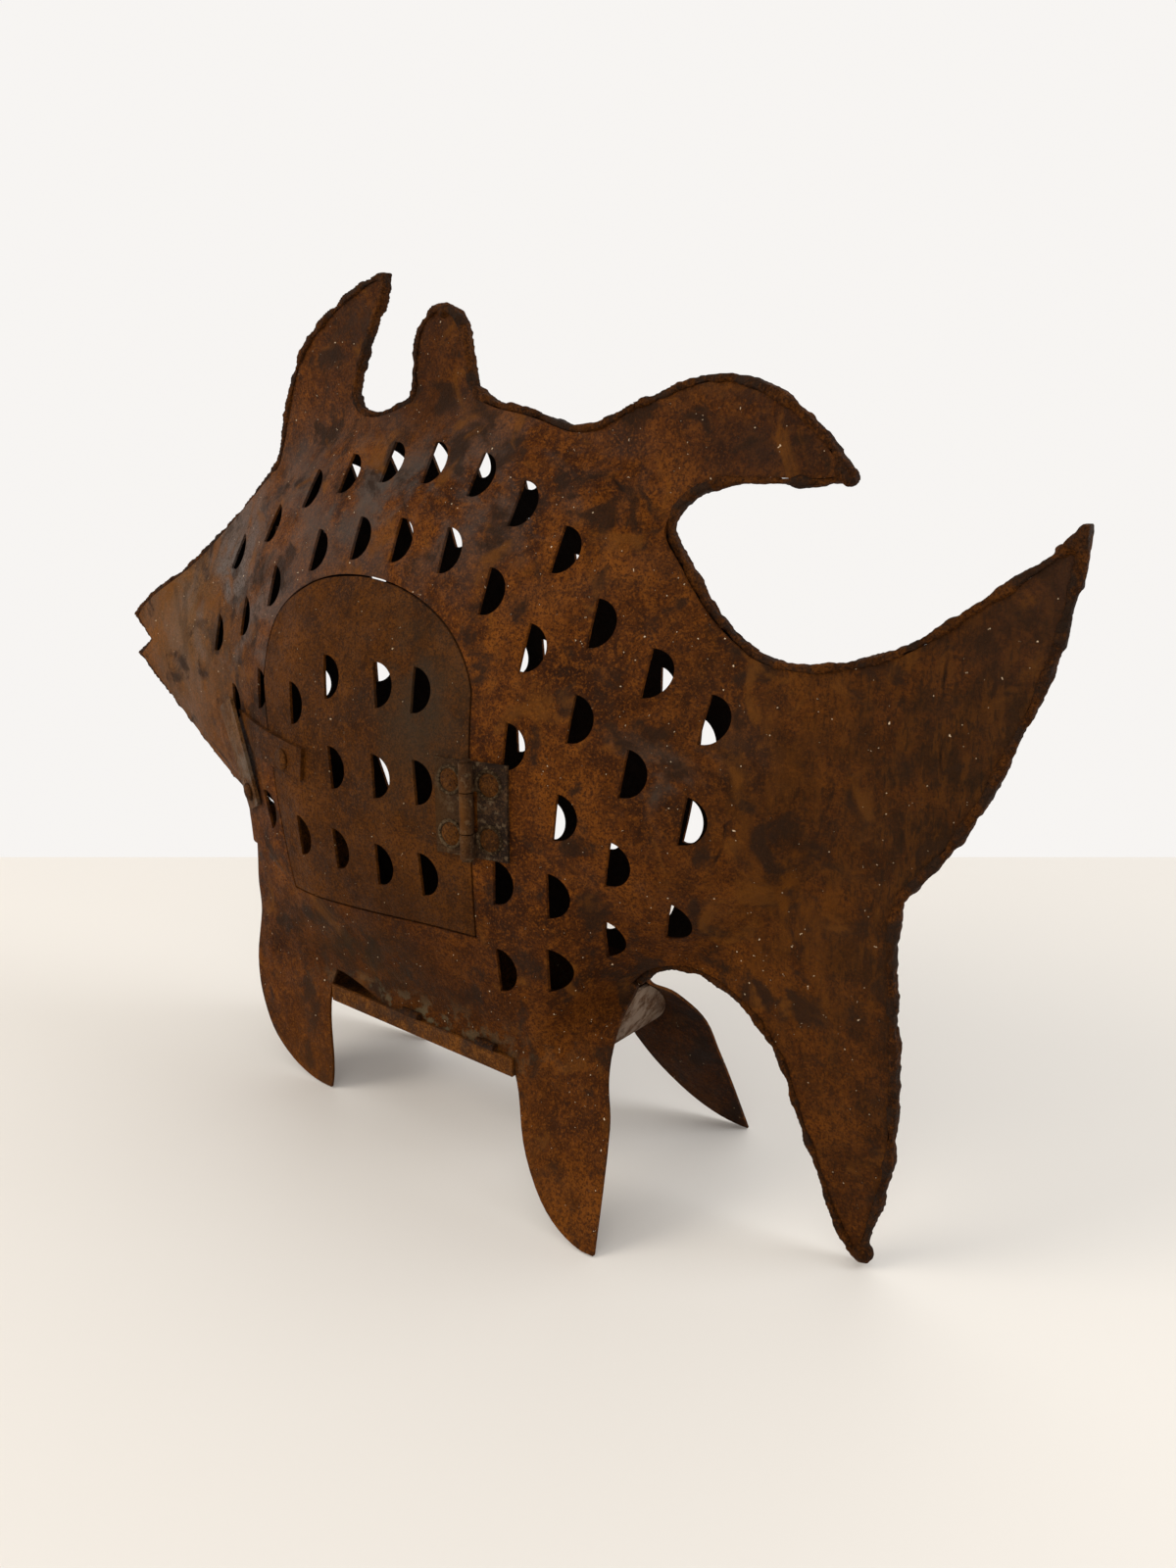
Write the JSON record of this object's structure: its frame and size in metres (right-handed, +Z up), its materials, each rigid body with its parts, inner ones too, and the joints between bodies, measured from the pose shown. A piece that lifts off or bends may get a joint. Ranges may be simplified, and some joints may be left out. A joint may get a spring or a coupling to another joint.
{
  "type": "fish-shaped candle lantern",
  "caption": "Fish-shaped candle lantern of welded rusty sheet iron, pierced with D-shaped holes, on four sheet legs, with an arched hinged door, a turning latch and a candle cup.",
  "frame": {"origin": "middle of the bounding box's bottom face: on the floor, in the plane of the seam between the two side sheets", "axes": "+X from the snout to the tail, +Y from the door side to the far side, +Z up"},
  "size_m": [0.38, 0.089, 0.28],
  "materials": {
    "rusted_sheet": "mottled red-brown rust with blue-grey mill scale",
    "weld_bead": "rough dark rusty weld",
    "rusted_door": "smoother orange-brown rust",
    "old_hinge": "dark iron with pale crust",
    "latch_plate": "rusty plate",
    "rivets": "dark rusty rivet heads"
  },
  "bodies": {
    "lantern_body": {"near_side_shell": "rusted_sheet", "far_side_shell": "rusted_sheet", "brow_seam_weld": "weld_bead", "front_fins_weld": "weld_bead", "back_seam_weld": "weld_bead", "rear_fin_weld": "weld_bead", "tail_seam_weld": "weld_bead", "chin_seam_weld": "weld_bead", "floor_tray": "rusted_sheet", "front_belly_plate": "rusted_sheet", "rear_belly_plate": "rusted_sheet", "tray_tack_welds": "weld_bead", "candle_cup": "rusted_sheet", "cup_tack_welds": "weld_bead", "body_hinge_leaf": "old_hinge", "hinge_pin": "old_hinge", "body_leaf_rivets": "rivets", "latch_strap_rivet": "rivets"},
    "lantern_door": {"door": "rusted_door", "door_hinge_leaf": "old_hinge", "door_leaf_rivets": "rivets", "latch_tongue": "rusted_door", "latch_tongue_rivet": "rivets"},
    "latch_arm": {"latch_strap": "latch_plate"}
  },
  "joints": [
    {"name": "door_hinge", "type": "hinge", "parent": "lantern_body", "child": "lantern_door", "pos_m": [0.03138, -0.03468, 0.1208], "axis": [0, 0, 1], "range_deg": [0, 115]},
    {"name": "latch_pivot", "type": "hinge", "parent": "lantern_body", "child": "latch_arm", "pos_m": [-0.08231, -0.02683, 0.10791], "axis": [0.3206, 0.943, 0.0896], "range_deg": [0, 35]}
  ]
}
